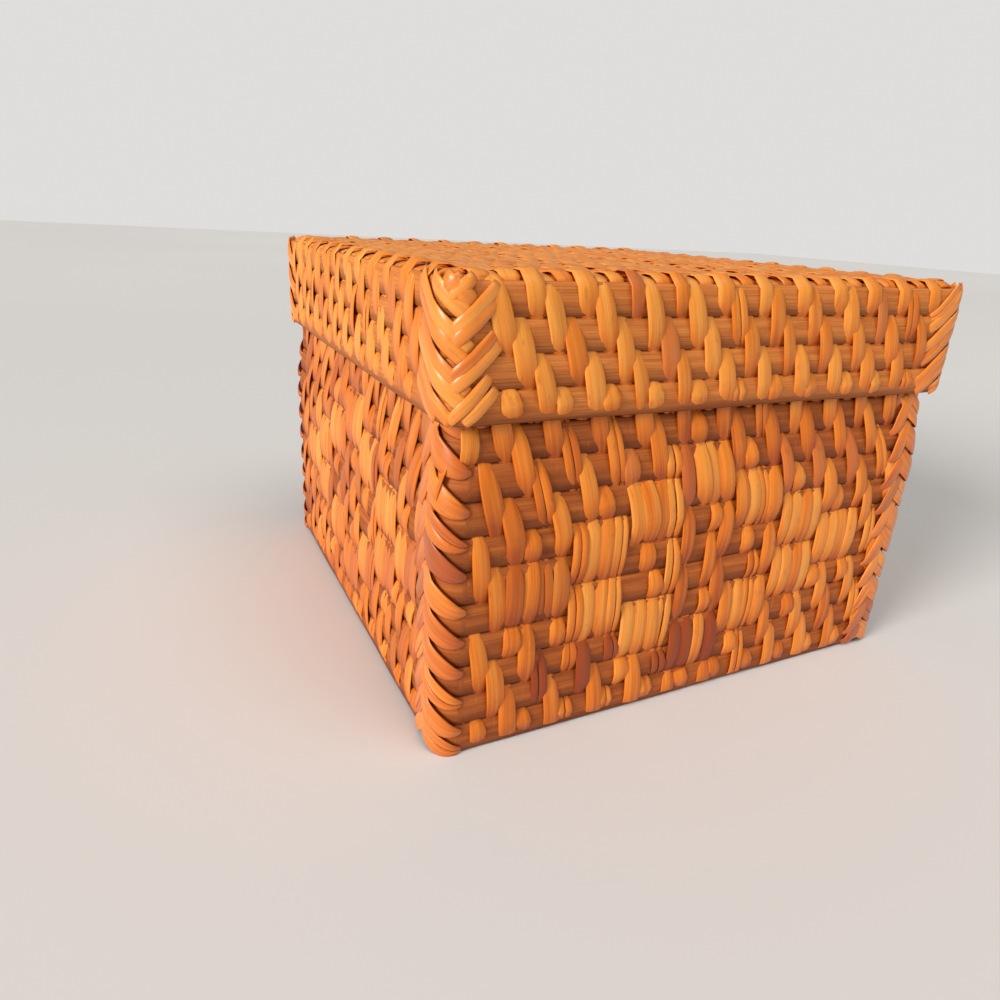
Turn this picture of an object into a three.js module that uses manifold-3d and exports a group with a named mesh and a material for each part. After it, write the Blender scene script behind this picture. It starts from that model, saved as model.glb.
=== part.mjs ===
// A small square box with a lift-off lid, woven like a basket.
// Stiff flat bands run round it in courses, and strands are woven over and under them in a twill.
// Millimetres, +Z up, origin on the ground under the middle of the box, front towards -Y.

import * as THREE from "three";
import { mergeVertices } from "three/addons/utils/BufferGeometryUtils.js";
import Module from "manifold-3d";

// Outside of the closed box, over the strands.
const boxWidth = 115;
const boxDepth = 115;
const boxHeight = 84;
const lidHeight = 22.8;

// Bands: the stiff flat courses. The shown ones lie below the lid's edge.
const bandThickness = 0.5;
const bandCornerRadius = 4;
const bandCornerSteps = 2;
const shownBands = 10;
const lidBands = 4;
const lidShoulder = 1.2;

// Strands: the flexible twill over the bands.
const strandThickness = 0.2;
const strandRise = 0.6;
const strandPitch = 3;
const strandWidth = 2.5;
const strandLean = 0.4;
const strandHip = 1.1;
const cornerMargin = 6.3;
const sheetEdge = 0.3;

// Lashings: the herringbone over each upright corner.
const lashingThickness = 0.75;
const lashingReach = 5.9;
const lashingClimb = 5.2;
const lashingLap = 0.3;
const lashingFeatherShare = 0.35;

// Panels and rim.
const floorThickness = 0.9;
const topBandThickness = 0.7;
const leastRimHeight = 2;

// Clearances.
const layerGap = 0.1;
const bandGap = 0.25;
const lidClearance = 0.3;
const lidSeatGap = 0.3;
const groundGap = 0.3;
const lidEdgeGap = 0.7;

// The twill runs over two bands and under one, one band lower on each next strand. The leftmost
// strand starts over the uppermost band.
const twillRepeat = 3;
const twillOver = 2;
// The diamond: blocks of neighbouring strands that float over two bands together.
const blockStrands = 4;
const blockBands = 2;
const diamondBlocks = 3;
const diamondFirstBand = 2;
const diamondLastBand = 9;

// Finishes of the straw.
const bandFinish = { color: 0xb8704a, roughness: 0.6, metalness: 0 };
const strandFinish = { color: 0xe8913f, roughness: 0.45, metalness: 0 };
const lashingFinish = { color: 0xf0a050, roughness: 0.4, metalness: 0 };
const rimFinish = { color: 0xf0a050, roughness: 0.5, metalness: 0 };
const panelFinish = { color: 0xc07a4c, roughness: 0.6, metalness: 0 };

const weaveDepth = layerGap + strandThickness + strandRise;
const wallThickness = bandThickness + weaveDepth;
const lidBase = boxHeight - lidHeight;
const topBandBottom = boxHeight - weaveDepth - topBandThickness;
const lidBandPitch = (topBandBottom - layerGap - lidBase) / lidBands;
const basketRim = topBandBottom - lidSeatGap;
const shownTop = lidBase - lidEdgeGap;
const basketBandPitch = shownTop / shownBands;
const hiddenBands = Math.floor((basketRim - leastRimHeight - shownTop) / basketBandPitch);

// Half sizes to the outer face of the bands.
const lidHalf = { x: boxWidth / 2 - weaveDepth, y: boxDepth / 2 - weaveDepth };
const basketInset = wallThickness + lidClearance;
const basketHalf = { x: lidHalf.x - basketInset, y: lidHalf.y - basketInset };

// Points nearer than this to a flat face are part of it.
const flatness = 0.001;

const wasm = await Module();
wasm.setup();

function piece(name, geometry, finish) {
  const mesh = new THREE.Mesh(geometry, new THREE.MeshStandardMaterial(finish));
  mesh.name = name;
  return mesh;
}

function geometryFrom(points, faces) {
  const geometry = new THREE.BufferGeometry();
  geometry.setAttribute("position", new THREE.Float32BufferAttribute(points, 3));
  geometry.setIndex(faces);
  return geometry;
}

function solidFrom(geometry) {
  const bare = geometry.clone();
  bare.deleteAttribute("normal");
  bare.deleteAttribute("uv");
  const merged = mergeVertices(bare);
  const vertProperties = new Float32Array(merged.attributes.position.array);
  const triVerts = new Uint32Array(merged.index.array);
  return new wasm.Manifold(new wasm.Mesh({ numProp: 3, vertProperties, triVerts }));
}

function geometryOf(solid) {
  const mesh = solid.asOriginal().simplify(flatness).getMesh();
  return geometryFrom(Array.from(mesh.vertProperties), Array.from(mesh.triVerts));
}

function boxBetween(low, high) {
  const geometry = new THREE.BoxGeometry(high.x - low.x, high.y - low.y, high.z - low.z);
  const middle = low.clone().add(high).multiplyScalar(1 / 2);
  return geometry.translate(middle.x, middle.y, middle.z);
}

// Joins rings of points, each with the same number, into one closed tube.
function loft(rings, closed) {
  const size = rings[0].length;
  const points = rings.flat().flatMap((p) => [p.x, p.y, p.z]);
  const faces = [];
  const spans = closed ? rings.length : rings.length - 1;
  for (let i = 0; i < spans; i += 1) {
    const here = i * size;
    const next = ((i + 1) % rings.length) * size;
    for (let j = 0; j < size; j += 1) {
      const k = (j + 1) % size;
      faces.push(here + j, next + j, next + k);
      faces.push(here + j, next + k, here + k);
    }
  }
  if (!closed) {
    const last = (rings.length - 1) * size;
    for (let j = 1; j < size - 1; j += 1) {
      faces.push(0, j, j + 1);
      faces.push(last, last + j + 1, last + j);
    }
  }
  return geometryFrom(points, faces);
}

// A hoop with rounded corners in plan. The section's points are [inset from the face, height].
function hoop(half, section) {
  const rings = [];
  for (let quarter = 0; quarter < 4; quarter += 1) {
    const right = quarter === 0 || quarter === 3;
    const back = quarter < 2;
    const centreX = (right ? 1 : -1) * (half.x - bandCornerRadius);
    const centreY = (back ? 1 : -1) * (half.y - bandCornerRadius);
    for (let step = 0; step <= bandCornerSteps; step += 1) {
      const angle = ((quarter + step / bandCornerSteps) * Math.PI) / 2;
      const place = ([inset, height]) => {
        const radius = bandCornerRadius - inset;
        const x = centreX + radius * Math.cos(angle);
        return new THREE.Vector3(x, centreY + radius * Math.sin(angle), height);
      };
      rings.push(section.map(place));
    }
  }
  return loft(rings, true);
}

// One band, flat on both faces.
function bandSection(bottom, top) {
  return [[bandThickness, bottom], [0, bottom], [0, top], [bandThickness, top]];
}

// The lid's top band turns in over its upper edge.
function shoulderSection(bottom, top) {
  const turned = [bandThickness / 2, top];
  return [[bandThickness, bottom], [0, bottom], [0, top - lidShoulder], turned, [bandThickness, top]];
}

function roundedPlate(half, radius, bottom, thickness) {
  const shape = new THREE.Shape();
  shape.moveTo(half.x, radius - half.y);
  shape.lineTo(half.x, half.y - radius);
  shape.absarc(half.x - radius, half.y - radius, radius, 0, Math.PI / 2);
  shape.absarc(radius - half.x, half.y - radius, radius, Math.PI / 2, Math.PI);
  shape.absarc(radius - half.x, radius - half.y, radius, Math.PI, (3 * Math.PI) / 2);
  shape.absarc(half.x - radius, radius - half.y, radius, (3 * Math.PI) / 2, 2 * Math.PI);
  const options = { depth: thickness, bevelEnabled: false, curveSegments: bandCornerSteps };
  return new THREE.ExtrudeGeometry(shape, options).translate(0, 0, bottom);
}

// The bands that one strand of plain twill floats over, as [first, last], counted downwards.
function twillFloats(strand, first, last) {
  const floats = [];
  for (let band = first - twillRepeat; band <= last; band += 1) {
    const step = (band - strand - 1) % twillRepeat;
    if ((step + twillRepeat) % twillRepeat === 0) {
      const low = Math.max(band, first);
      const high = Math.min(band + twillOver - 1, last);
      if (low <= high) floats.push([low, high]);
    }
  }
  return floats;
}

// Inside the diamond the strands float singly, in a small pattern of their own.
function heartFloats(offset, first, last) {
  if (last < first) return [];
  if (last - first < blockBands) return offset % 2 === 0 ? [[first, last]] : [[last, last]];
  const middle = Math.floor((first + last) / 2);
  return offset % 2 === 0 ? [[first, first + 1], [last, last]] : [[middle, middle + 1]];
}

function diamondFloats(strand, strands, first, last) {
  const fromCentre = strand - (strands - 1) / 2;
  const block = Math.round(Math.abs(fromCentre) / blockStrands);
  const plain = (low, high) => twillFloats(strand, low, high);
  if (block > diamondBlocks) return plain(first, last);
  const top = diamondFirstBand + block;
  const bottom = diamondLastBand - block - blockBands + 1;
  const blocks = [[top, top + blockBands - 1]];
  if (bottom > top) blocks.push([bottom, bottom + blockBands - 1]);
  const heart = heartFloats(strand, top + blockBands, bottom - 1);
  const above = plain(first, top - 1);
  const below = plain(bottom + blockBands, last);
  return [...above, ...blocks, ...heart, ...below];
}

// A strand where it shows over the bands: a low ridge with sloping ends that leans with the weave.
// Over a single band the ridge is only a crest.
function floatSolid(x, low, high, single) {
  const half = strandWidth / 2;
  const lean = strandLean / 2;
  const root = strandThickness / 2;
  const ridge = strandThickness + strandRise;
  const foot = [
    x - half + lean, low, root,
    x + half + lean, low, root,
    x + half - lean, high, root,
    x - half - lean, high, root,
  ];
  const underside = [0, 2, 1, 0, 3, 2];
  if (single) {
    const crest = [x, (low + high) / 2, ridge];
    const slopes = [0, 1, 4, 1, 2, 4, 2, 3, 4, 3, 0, 4];
    return solidFrom(geometryFrom([...foot, ...crest], [...underside, ...slopes]));
  }
  const ridgeLean = (lean * (high - low - 2 * strandHip)) / (high - low);
  const crest = [x + ridgeLean, low + strandHip, ridge, x - ridgeLean, high - strandHip, ridge];
  const slopes = [0, 1, 4, 1, 2, 5, 1, 5, 4, 2, 3, 5, 3, 0, 4, 3, 4, 5];
  return solidFrom(geometryFrom([...foot, ...crest], [...underside, ...slopes]));
}

// The strands of one face, lying flat: x across the strands, y up them, z outwards.
// Band numbers count downwards from the upper edge of the face.
function strandSheet(width, low, high, bandPitch, floatsOf) {
  const strands = Math.floor((width - 2 * sheetEdge) / strandPitch);
  const sheetHalf = (strands * strandPitch) / 2;
  const lowest = new THREE.Vector3(-sheetHalf, low, 0);
  const highest = new THREE.Vector3(sheetHalf, high, strandThickness);
  let solid = solidFrom(boxBetween(lowest, highest));
  for (let strand = 0; strand < strands; strand += 1) {
    const x = (strand + 1 / 2) * strandPitch - sheetHalf;
    for (const [first, last] of floatsOf(strand, strands)) {
      const top = high - (first - 1) * bandPitch - sheetEdge;
      const bottom = Math.max(high - last * bandPitch, low) + sheetEdge;
      solid = solid.add(floatSolid(x, bottom, top, first === last));
    }
  }
  return geometryOf(solid);
}

// The herringbone over one corner, on two faces that meet at the local origin. Each strap laps the
// one above it like a shingle, bends round the corner and climbs away from it on both faces.
function lashing(bottom, top, pitch, climb) {
  // The chamfer that touches a rounded corner, and how it grows with each step outwards.
  const flat = (2 - Math.SQRT2) * bandCornerRadius;
  const creep = Math.SQRT2 - 1;
  const stations = [
    { rise: climb, at: (d) => [-lashingReach, -d] },
    { rise: 0, at: (d) => [creep * d - flat, -d] },
    { rise: 0, at: (d) => [d, flat - creep * d] },
    { rise: climb, at: (d) => [d, lashingReach] },
  ];
  const course = (height, thickness) => {
    const point = (station, depth) => new THREE.Vector3(...station.at(depth), height + station.rise);
    const outer = stations.map((station) => point(station, layerGap + thickness));
    const inner = stations.map((station) => point(station, layerGap));
    return [...inner, ...outer.reverse()];
  };
  const spare = Math.ceil(Math.abs(climb) / pitch) + 1;
  const count = Math.round((top - bottom) / pitch);
  const rings = [];
  for (let i = -spare; i < count + spare; i += 1) {
    const height = bottom + i * pitch;
    rings.push(course(height + lashingLap, lashingThickness));
    rings.push(course(height + pitch, lashingThickness * lashingFeatherShare));
  }
  const far = lashingReach + lashingThickness;
  const low = new THREE.Vector3(-far, -far, bottom);
  const high = new THREE.Vector3(far, far, top);
  const straps = solidFrom(loft(rings, false));
  return geometryOf(straps.intersect(solidFrom(boxBetween(low, high))));
}

const sides = ["front", "right", "back", "left"];
const corners = ["front_right", "back_right", "back_left", "front_left"];

// Stands a flat sheet up against one wall.
function stand(mesh, half, side) {
  const alongX = side % 2 === 0;
  mesh.rotation.x = Math.PI / 2;
  mesh.position.y = -(alongX ? half.y : half.x) - layerGap;
  const turned = new THREE.Group();
  turned.add(mesh);
  turned.rotation.z = (side * Math.PI) / 2;
  return turned;
}

function faceWidth(half, side) {
  return 2 * ((side % 2 === 0 ? half.x : half.y) + weaveDepth - cornerMargin);
}

function addCorners(group, prefix, half, bottom, top, pitch, climb) {
  const places = [[1, -1], [1, 1], [-1, 1], [-1, -1]];
  places.forEach(([right, back], i) => {
    const geometry = lashing(bottom, top, pitch, climb);
    const mesh = piece(`${prefix}_lashing_${corners[i]}`, geometry, lashingFinish);
    mesh.rotation.z = (i * Math.PI) / 2;
    mesh.position.set(right * half.x, back * half.y, 0);
    group.add(mesh);
  });
}

function basket() {
  const group = new THREE.Group();
  const bands = shownBands + hiddenBands;
  const wallTop = bands * basketBandPitch;
  for (let i = 0; i < bands; i += 1) {
    const bottom = i * basketBandPitch;
    const section = bandSection(bottom, bottom + basketBandPitch - bandGap);
    const name = `basket_band_${String(i + 1).padStart(2, "0")}`;
    group.add(piece(name, hoop(basketHalf, section), bandFinish));
  }
  const rimSection = bandSection(wallTop, basketRim);
  group.add(piece("basket_rim", hoop(basketHalf, rimSection), rimFinish));
  const floorInset = bandThickness + layerGap;
  const floorHalf = { x: basketHalf.x - floorInset, y: basketHalf.y - floorInset };
  const floor = roundedPlate(floorHalf, bandCornerRadius, 0, floorThickness);
  group.add(piece("basket_floor", floor, panelFinish));
  sides.forEach((name, side) => {
    const floatsOf = (strand, strands) => {
      const shown = diamondFloats(strand, strands, 1, shownBands);
      return shown.map(([first, last]) => [first + hiddenBands, last + hiddenBands]);
    };
    const width = faceWidth(basketHalf, side);
    const sheet = strandSheet(width, groundGap, wallTop, basketBandPitch, floatsOf);
    const mesh = piece(`basket_strands_${name}`, sheet, strandFinish);
    group.add(stand(mesh, basketHalf, side));
  });
  addCorners(group, "basket", basketHalf, groundGap, wallTop, basketBandPitch, -lashingClimb);
  return group;
}

function lid() {
  const group = new THREE.Group();
  const wallTop = lidBase + lidBands * lidBandPitch;
  for (let i = 0; i < lidBands; i += 1) {
    const bottom = lidBase + i * lidBandPitch;
    const sectionOf = i === lidBands - 1 ? shoulderSection : bandSection;
    const section = sectionOf(bottom, bottom + lidBandPitch - bandGap);
    group.add(piece(`lid_band_${i + 1}`, hoop(lidHalf, section), bandFinish));
  }
  sides.forEach((name, side) => {
    const floatsOf = (strand) => twillFloats(strand, 1, lidBands);
    const width = faceWidth(lidHalf, side);
    const sheet = strandSheet(width, lidBase, wallTop - lidShoulder, lidBandPitch, floatsOf);
    const mesh = piece(`lid_strands_${name}`, sheet, strandFinish);
    group.add(stand(mesh, lidHalf, side));
  });
  addCorners(group, "lid", lidHalf, lidBase, wallTop, lidBandPitch, lashingClimb);
  const topHalf = { x: lidHalf.x - lidShoulder, y: lidHalf.y - lidShoulder };
  const topPlate = roundedPlate(topHalf, bandCornerRadius, topBandBottom, topBandThickness);
  group.add(piece("lid_top_panel", topPlate, panelFinish));
  const topBands = Math.floor((2 * (topHalf.y - lidShoulder)) / basketBandPitch);
  const topReach = (topBands * basketBandPitch) / 2;
  const topWidth = 2 * (topHalf.x - lidShoulder);
  const floatsOf = (strand) => twillFloats(strand, 1, topBands);
  const topSheet = strandSheet(topWidth, -topReach, topReach, basketBandPitch, floatsOf);
  const topMesh = piece("lid_top_strands", topSheet, strandFinish);
  topMesh.position.z = topBandBottom + topBandThickness + layerGap;
  group.add(topMesh);
  return group;
}

const box = new THREE.Group();
box.add(basket());
box.add(lid());

export default box;
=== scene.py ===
# A small square box with a lift-off lid, woven of straw over stiff bands.
# Metres, +Z up, front towards -Y, origin on the ground under the middle of the box.

import math
from typing import NamedTuple

import bpy
import numpy as np
from mathutils import Matrix, Vector


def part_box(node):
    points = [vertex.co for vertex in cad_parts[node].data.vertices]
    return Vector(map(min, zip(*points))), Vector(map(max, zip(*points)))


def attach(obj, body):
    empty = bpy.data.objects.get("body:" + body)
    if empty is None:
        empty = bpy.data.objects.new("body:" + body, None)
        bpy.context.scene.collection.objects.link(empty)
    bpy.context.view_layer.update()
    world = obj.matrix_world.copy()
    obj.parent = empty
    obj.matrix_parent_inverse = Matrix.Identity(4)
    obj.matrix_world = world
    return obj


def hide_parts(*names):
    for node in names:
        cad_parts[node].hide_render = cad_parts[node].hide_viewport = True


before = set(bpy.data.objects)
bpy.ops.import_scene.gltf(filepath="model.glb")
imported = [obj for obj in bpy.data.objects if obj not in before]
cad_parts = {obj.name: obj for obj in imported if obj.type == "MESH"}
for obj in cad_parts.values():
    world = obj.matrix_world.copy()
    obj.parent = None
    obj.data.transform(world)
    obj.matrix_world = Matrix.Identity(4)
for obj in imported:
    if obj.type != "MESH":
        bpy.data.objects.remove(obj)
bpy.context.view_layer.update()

MM = 0.001
CORNERS = ["front_right", "back_right", "back_left", "front_left"]

# Sizes taken from the frame. The bands are listed from the lowest up.
basket_nodes = sorted(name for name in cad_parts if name.startswith("basket_band_"))
lid_nodes = sorted(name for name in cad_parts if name.startswith("lid_band_"))
band_low, band_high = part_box(basket_nodes[0])
lid_band_low, lid_band_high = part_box(lid_nodes[0])
rim_low, rim_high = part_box("basket_rim")
plate_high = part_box("lid_top_panel")[1]
basket_bands = len(basket_nodes)
lid_bands = len(lid_nodes)
basket_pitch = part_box(basket_nodes[1])[0].z - band_low.z
lid_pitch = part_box(lid_nodes[1])[0].z - lid_band_low.z
lid_base = lid_band_low.z
basket_top = basket_bands * basket_pitch
shown_bands = int(lid_base / basket_pitch)
hidden_bands = basket_bands - shown_bands
rim_middle = (rim_low.z + rim_high.z) / 2
rim_height = rim_high.z - rim_low.z

# Middle surface of each wall, where the strands cross from one side of the bands to the other.
cad_band_thickness = 0.5 * MM
lid_outset = 0.1 * MM
top_outset = 0.05 * MM
basket_half = band_high.x - cad_band_thickness / 2
lid_half = lid_band_high.x + lid_outset
lid_top = plate_high.z + top_outset
basket_bottom = 0.55 * MM
ground_gap = 0.02 * MM

# The basket bellies out below the lid.
belly = 1.2 * MM
belly_from = 60 * MM
belly_height = 16 * MM

# Bands. Round the box they sway up and down in two sets of waves and swell in a third. The edge hoop
# is the rounded one at the top of the lid, and reaches in under the plait.
corner_radius = 4 * MM
side_steps = 36
corner_steps = 8
band_height_share = 1.006
band_outer = 0.6 * MM
band_inner = 0.3 * MM
band_sway = 0.06 * MM
band_swell = 0.04 * MM
band_waves = (5, 11, 17)
edge_radius = 1.9 * MM
edge_inner_radius = 1.5 * MM
edge_reach = 7.6 * MM
edge_steps = 7
edge_start = -30
rim_inset = 0.6 * MM

# Strands. The twill runs over two bands and under the third.
twill = 3
strand_count = 32
lid_strand_count = 33
extra_strands = 2
strand_pitch = 3 * MM
basket_width = 3.35 * MM
lid_width = 3.5 * MM
flat_width = 3.3 * MM
strand_thickness = 0.26 * MM
strand_crown = 0.14 * MM
station_gap = 1.0 * MM
least_stations = 5

# How far the middle of a float stands out of the middle surface, and the radius of the bends.
basket_rise = 1.0 * MM
lid_rise = 0.9 * MM
hidden_rise = 0.62 * MM
inner_rise = 0.5 * MM
lid_inner_rise = 0.36 * MM
flat_rise = 0.27 * MM
basket_turn = 1.7 * MM
lid_turn = 2.3 * MM
edge_above_rim = 0.8 * MM
lid_edge_gap = 0.7 * MM

# Width left at the ends of a float, and how late the rise, the width and a pad's pull fall off.
upper_tip_share = 0.66
lower_tip_share = 0.84
pad_tip_share = 0.88
long_float_power = 2.5
short_float_power = 2.1
short_float_bands = 1.5
tip_power = 3
pull_power = 5

# The columns of strands lean to the left going up, and on the left walls to the right: pairs of
# height and sideways place in millimetres. Each float has a tilt besides, to the right going down.
basket_lean = [(0, -1.2), (41, -2.0), (60.5, -6.4)]
basket_left_lean = [(0, -1.0), (14, 0), (60.5, 5.4)]
lid_lean = [(61, 2.8), (74, 0), (84, -2.2)]
lid_left_lean = [(61, -0.6), (74, 0), (84, 0.6)]
float_tilt = math.radians(4)
basket_left_tilt = math.radians(-14)
lid_left_tilt = math.radians(-5)
pad_tilt_share = 0.3
pad_pull = 0.26 * MM
left_fullness = 1.2
left_relief = 0.75

# Where the floats of a wall end, and where the strands beside them run under the lashing.
wall_reach = 49.2 * MM
under_lashing = 51.6 * MM

# What differs from strand to strand and from float to float.
strand_jitter = 0.16 * MM
float_bow = 0.1 * MM
rise_spread = 0.1
width_spread = 0.05
strand_roll = 0.07

# Strands whole and split lengthwise in two: how often, and what the halves are like.
split_shares = [0.9, 0.1]
split_cut_spread = 0.06
split_width_share = 0.96
split_wander = 0.04 * MM
split_wander_length = 4 * MM
split_tone_spread = 0.1

# The diamond, in strands and rows counted downwards.
block_strands = 4
diamond_blocks = 3
diamond_top = 2
diamond_bottom = 9

# Tone of a strand, 0 dark to 1 light, how much it differs, and how much painted shade darkens its
# lower ends.
basket_tone = 0.5
# Painted light: the lid's strands are toned lighter than the basket's.
lid_tone = 0.84
basket_band_tone = 0.3
lid_band_tone = 0.9
tone_spread = 0.5
float_tone_spread = 0.08
foot_shade = 0.7
foot_power = 1.6
# Painted shade on the runs that pass behind the bands.
inner_shade = 0.25

# Dye of a float: how much lighter, how pink and how dark red it is.
STRAW = (0.0, 0.0, 0.0)
PALE = (0.28, 0.0, 0.0)
PINK = (0.0, 1.0, 0.0)
BROWN = (0.0, 0.0, 0.45)
RED = (0.0, 0.0, 1.0)

# Dyed floats of the front wall: the upper row of the floats and their strands.
FRONT_DYES = [
    (BROWN, 5, (2, 4, 5)),
    (RED, 8, (4, 7, 9, 14, 15, 17)),
    (RED, 9, (12, 13)),
    (PINK, 2, (10, 14, 22, 25, 28)),
]

# Lashings. An arm rises from under the arm before it, and widens there. Further on it narrows and
# darkens with painted shade, and its end dips. Each change starts and ends at shares of its length
# and has a power.
strap_steps = 17
strap_up = (0, 0.35, 0.7)
strap_widening = (0, 0.25, 1)
strap_narrowing = (0.4, 1, 2)
strap_shading = (0.3, 1, 1)
strap_dip = (0.7, 1, 2.2)
strap_root_share = 0.8
strap_width_share = 1.01
strap_crown = 0.16 * MM
strap_jitter = 0.03 * MM
strap_cut_spread = 0.08
strap_tone_spread = 0.1
strap_split_shares = [0.75, 0.22, 0.03]

# Lashings of the lid. Depths are heights over the wall at the start, the middle and the end of an
# arm. The arms: the side they go to, then drop, reach, climb, width, bulge of the path and the
# share of the width left at the end.
lid_courses = 3
lid_course_height = 6.6 * MM
lid_first_foot = 3.4 * MM
lid_joint = 0.8 * MM
lid_root = 2.0 * MM
lid_strap_bottom_gap = 0.5 * MM
lid_strap_top_gap = 0.4 * MM
least_lid_strap = 2.6 * MM
lid_lap_share = 0.86
lid_lap_reach = 0.5 * MM
lid_height_jitter = 0.12 * MM
lid_reach_jitter = 0.25 * MM
lid_strap_depths = (0.35 * MM, 0.95 * MM, 0.25 * MM)
# Painted light: the lid's arms are toned lighter than the basket's.
lid_strap_tones = (0.5, 0.95)
lid_arms = [
    (1, 0.0, 6.9 * MM, 8.4 * MM, 2.1 * MM, 1.08, 0.85),
    (-1, 1.6 * MM, 9.0 * MM, 11.0 * MM, 2.7 * MM, 1.08, 0.85),
]

# Lashings of the basket. The arms: as on the lid, with reach and fall for drop, reach and climb.
basket_joint = -4.6 * MM
basket_root = 1.2 * MM
basket_first_top_share = 1.05
basket_strap_top_gap = 0.5 * MM
basket_strap_ground_gap = 0.4 * MM
basket_strap_lift = 0.8 * MM
least_basket_fall = 2.5 * MM
basket_strap_jitter = 0.2 * MM
basket_strap_depths = (0.8 * MM, 1.25 * MM, 0.2 * MM)
hidden_depth_share = 0.5
basket_strap_tones = (0.35, 0.7)
# Painted shade at the tips of the basket's arms.
basket_strap_tip_shade = 0.5
red_strap_share = 0.06
red_strap_dye = 0.6
basket_arms = [
    (-1, 8.4 * MM, 9.0 * MM, 3.2 * MM, 1.2, 0.4),
    (1, 3.3 * MM, 7.6 * MM, 4.5 * MM, 1.6, 0.15),
]

# Binding of the rim.
binding_pitch = 3.0 * MM
binding_width = 2.8 * MM
binding_depth = 0.5 * MM
binding_crown = 0.05 * MM
binding_steps = 14
binding_tone = 0.5
binding_tone_wave = 0.3
binding_tone_spread = 0.15
binding_wave_steps = 40

# Colours as on a screen, 0 to 255. The first three go from dark to light.
STRAW_COLOURS = [(182, 78, 10), (235, 126, 28), (255, 166, 68)]
GLOSSY_COLOURS = [(194, 86, 12), (237, 128, 30), (254, 163, 62)]
CANE_COLOURS = [(142, 64, 16), (198, 105, 38), (234, 142, 64)]
PINK_COLOUR = (208, 106, 52)
RED_COLOUR = (146, 50, 14)
STAIN_COLOUR = (170, 84, 28)
GRAIN_COLOUR = (122, 58, 20)
SPECK_COLOUR = (236, 160, 104)
# Painted shade on the lower half of each band.
CANE_SHADE_COLOUR = (102, 42, 10)

# Gloss.
specular_level = 0.35
straw_coat = 0.12
glossy_coat = 0.7
coat_roughness = 0.27

# Camera, at the photograph's angle.
camera_lens = 25.85
camera_clip = 10 * MM
camera_place = Vector((-95.4, -151.5, 90.0)) * MM
camera_heading = math.radians(27.07)
camera_pitch = math.radians(-21.19)
camera_roll = math.radians(3.33)

# Stage. Lamps: direction towards them, angle that they cover, strength and colour.
floor_reach = 3.0
floor_dark = (0.74, 0.73, 0.71, 1)
floor_light = (0.78, 0.77, 0.75, 1)
world_colour = (1.0, 0.98, 0.96, 1)
world_light = 0.3
world_seen = 0.74
lamps = {
    "key": ((-1.0, -0.27, 0.42), 22, 2.9, (1.0, 0.97, 0.93)),
    "fill": ((0.15, -0.45, 1.0), 40, 0.9, (1.0, 0.98, 0.96)),
}

# Waves start at a random phase, in radians.
phase_range = 6
rng = np.random.default_rng(7)
band_phases = phase_range * rng.random(len(band_waves))


# Meshes.

def ring_faces(rings, size, closed):
    """Quads between neighbouring rings of size points each."""
    here = np.arange(rings if closed else rings - 1)[:, None]
    there = (here + 1) % rings * size
    here = here * size
    this = np.arange(size)[None, :]
    following = (this + 1) % size
    corners = [here + this, here + following, there + following, there + this]
    return np.stack(corners, axis=2).reshape(-1, 4)


def fibre_places(across, centres):
    """For every point its place across and along the fibres and a number that differs by piece."""
    steps = np.linalg.norm(np.diff(centres, axis=0), axis=1)
    values = np.empty((len(centres), np.shape(across)[-1], 3))
    values[:, :, 0] = across
    values[:, :, 1] = np.concatenate([[0], np.cumsum(steps)])[:, None]
    values[:, :, 2] = rng.random()
    return values.reshape(-1, 3)


def split(shares, spread):
    """Edges of the parts that a strand is split into, as shares of its width. shares are the chances
    of one part, of two and so on."""
    parts = rng.choice(len(shares), p=shares) + 1
    cuts = np.linspace(-0.5, 0.5, parts + 1)
    cuts[1:-1] += rng.normal(0, spread, parts - 1)
    return list(zip(cuts[:-1], cuts[1:]))


def add_to_scene(name, data):
    """A new object of the scene with this data."""
    thing = bpy.data.objects.new(name, data)
    bpy.context.scene.collection.objects.link(thing)
    return thing


def build(name, points, faces, fibre, dye, material):
    """A smooth mesh of quads with the attributes that the materials of straw and cane read."""
    mesh = bpy.data.meshes.new(name)
    mesh.vertices.add(len(points))
    mesh.vertices.foreach_set("co", points.astype(np.float32).ravel())
    mesh.loops.add(faces.size)
    mesh.loops.foreach_set("vertex_index", faces.astype(np.int32).ravel())
    mesh.polygons.add(len(faces))
    mesh.polygons.foreach_set("loop_start", np.arange(len(faces), dtype=np.int32) * 4)
    mesh.update(calc_edges=True)
    mesh.shade_smooth()
    for label, values in (("fibre", fibre), ("dye", dye)):
        attribute = mesh.attributes.new(label, "FLOAT_VECTOR", "POINT")
        attribute.data.foreach_set("vector", values.astype(np.float32).ravel())
    mesh.materials.append(material)
    return add_to_scene(name, mesh)


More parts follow.
